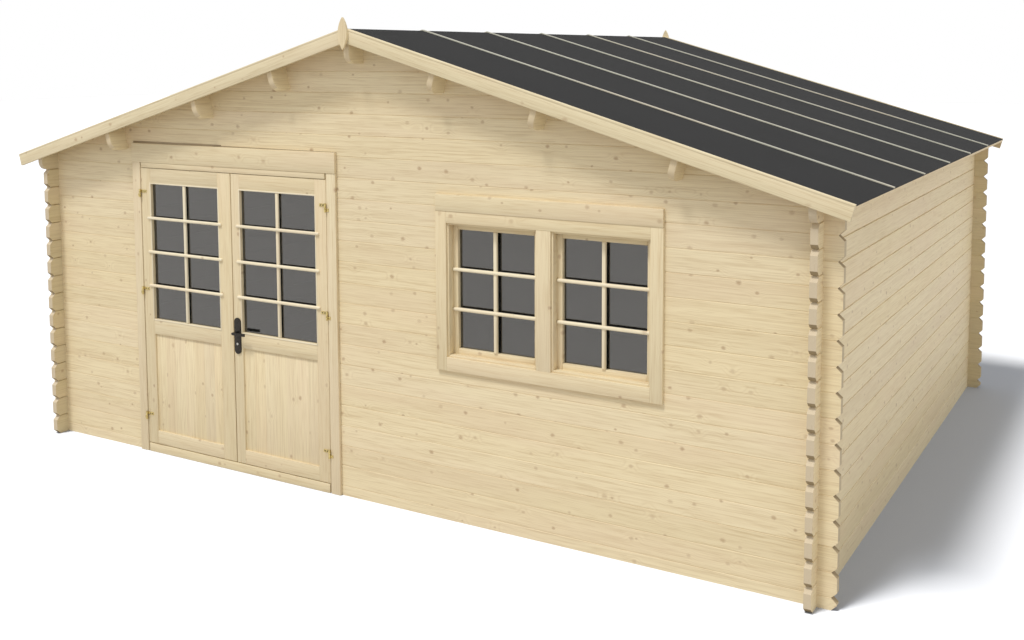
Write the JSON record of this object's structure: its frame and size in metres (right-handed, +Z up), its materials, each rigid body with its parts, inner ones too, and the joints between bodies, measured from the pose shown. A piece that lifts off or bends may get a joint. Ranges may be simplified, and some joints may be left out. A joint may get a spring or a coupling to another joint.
{
  "type": "wooden garden house",
  "caption": "Gabled garden house of horizontal notched wall boards with crossing corners, a felted roof with battens, a glazed double door and a barred double window.",
  "frame": {"origin": "on the ground, in the middle of the house's width and depth", "axes": "front with door and window faces -Y, +X to the right seen from the front, +Z up"},
  "size_m": [6.2232, 5.046, 3.0997],
  "materials": {
    "wall_wood": "planed, untreated",
    "roof_wood": "planed, untreated",
    "joinery_wood": "planed, untreated",
    "floor_wood": "planed, untreated",
    "felt": "mineral felt, matt",
    "pane": "clear",
    "hinge_brass": "plated",
    "handle_metal": "black-brown enamel"
  },
  "bodies": {
    "house": {"front_wall_left": "wall_wood", "front_wall_middle": "wall_wood", "front_wall_under_window": "wall_wood", "front_wall_over_window": "wall_wood", "front_wall_right": "wall_wood", "front_gable": "wall_wood", "left_wall": "wall_wood", "right_wall": "wall_wood", "back_wall": "wall_wood", "ridge_purlin": "roof_wood", "side_purlins": "roof_wood", "roof_boards_left": "roof_wood", "roof_boards_right": "roof_wood", "roofing_felt_left": "felt", "roofing_felt_right": "felt", "roof_battens_left": "roof_wood", "roof_battens_right": "roof_wood", "bargeboards_left": "roof_wood", "bargeboards_right": "roof_wood", "finials": "roof_wood", "door_jamb_left": "joinery_wood", "door_jamb_right": "joinery_wood", "door_head": "joinery_wood", "door_threshold": "joinery_wood", "door_header_board": "joinery_wood", "door_hinge_pins": "hinge_brass", "window_frame": "joinery_wood", "window_sashes": "joinery_wood", "window_panes": "pane", "window_header_board": "joinery_wood", "floor_boards": "floor_wood", "floor_bearers": "floor_wood"},
    "left_leaf": {"left_door_frame": "joinery_wood", "left_door_panel": "joinery_wood", "left_door_pane": "pane", "left_door_hinges": "hinge_brass"},
    "right_leaf": {"right_door_frame": "joinery_wood", "right_door_panel": "joinery_wood", "right_door_pane": "pane", "right_door_hinges": "hinge_brass", "door_handle_plates": "handle_metal"},
    "lever": {"door_lever": "handle_metal"}
  },
  "joints": [
    {"name": "left_door_swing", "type": "hinge", "parent": "house", "child": "left_leaf", "pos_m": [-1.977, -2.369, 0.267], "axis": [0, 0, -1], "range_deg": [0, 110]},
    {"name": "right_door_swing", "type": "hinge", "parent": "house", "child": "right_leaf", "pos_m": [-0.285, -2.369, 0.267], "axis": [0, 0, 1], "range_deg": [0, 110]},
    {"name": "lever_turn", "type": "hinge", "parent": "right_leaf", "child": "lever", "pos_m": [-1.075, -2.336, 0.985], "axis": [0, 1, 0], "range_deg": [0, 40], "stiffness_Nm_per_rad": 1.5}
  ]
}
